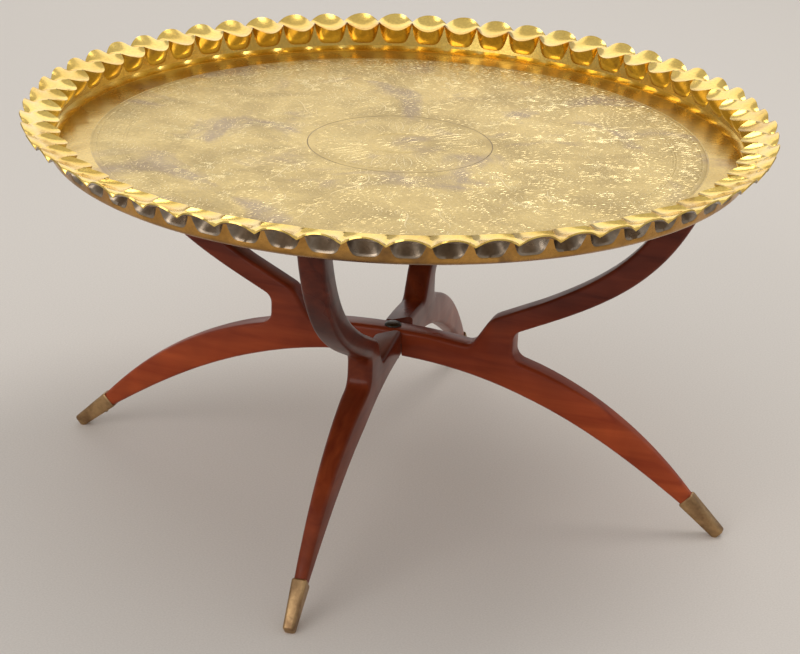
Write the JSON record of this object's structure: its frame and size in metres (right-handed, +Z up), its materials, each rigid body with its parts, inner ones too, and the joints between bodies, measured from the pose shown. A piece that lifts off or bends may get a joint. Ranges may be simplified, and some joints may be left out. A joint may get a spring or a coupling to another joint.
{
  "type": "brass tray table",
  "caption": "Low round table: an engraved brass tray with a fluted, petal-edged rim rests on a folding wooden spider-leg stand whose two lapped frames turn on a pivot bolt.",
  "frame": {"origin": "on the floor under the stand's pivot axis, which is also the tray's axis", "axes": "+X along the upper frame towards its right foot, +Y towards the back, +Z up along the pivot axis"},
  "size_m": [0.761, 0.761, 0.4092],
  "materials": {
    "tray_brass": "polished, engraved and patchily tarnished",
    "lacquered_wood": "red-brown stain under glossy lacquer",
    "aged_brass": "dull, aged",
    "pin_brass": "dull",
    "dark_steel": "blackened"
  },
  "bodies": {
    "upper_stand": {"frame_upper": "lacquered_wood", "sabot_right": "aged_brass", "sabot_left": "aged_brass", "sabot_pin_right": "pin_brass", "sabot_pin_left": "pin_brass", "pivot_bolt": "dark_steel", "pivot_washer": "dark_steel", "pivot_nut": "dark_steel"},
    "lower_stand": {"frame_lower": "lacquered_wood", "sabot_front": "aged_brass", "sabot_back": "aged_brass", "sabot_pin_front": "pin_brass", "sabot_pin_back": "pin_brass"},
    "tray_body": {"tray": "tray_brass"}
  },
  "joints": [
    {"name": "fold", "type": "hinge", "parent": "upper_stand", "child": "lower_stand", "pos_m": [0, 0, 0.1615], "axis": [0, 0, 1], "range_deg": [-49, 0]},
    {"name": "tray_lift", "type": "slide", "parent": "upper_stand", "child": "tray_body", "axis": [0, 0, 1], "range_m": [0, 0.15]}
  ]
}
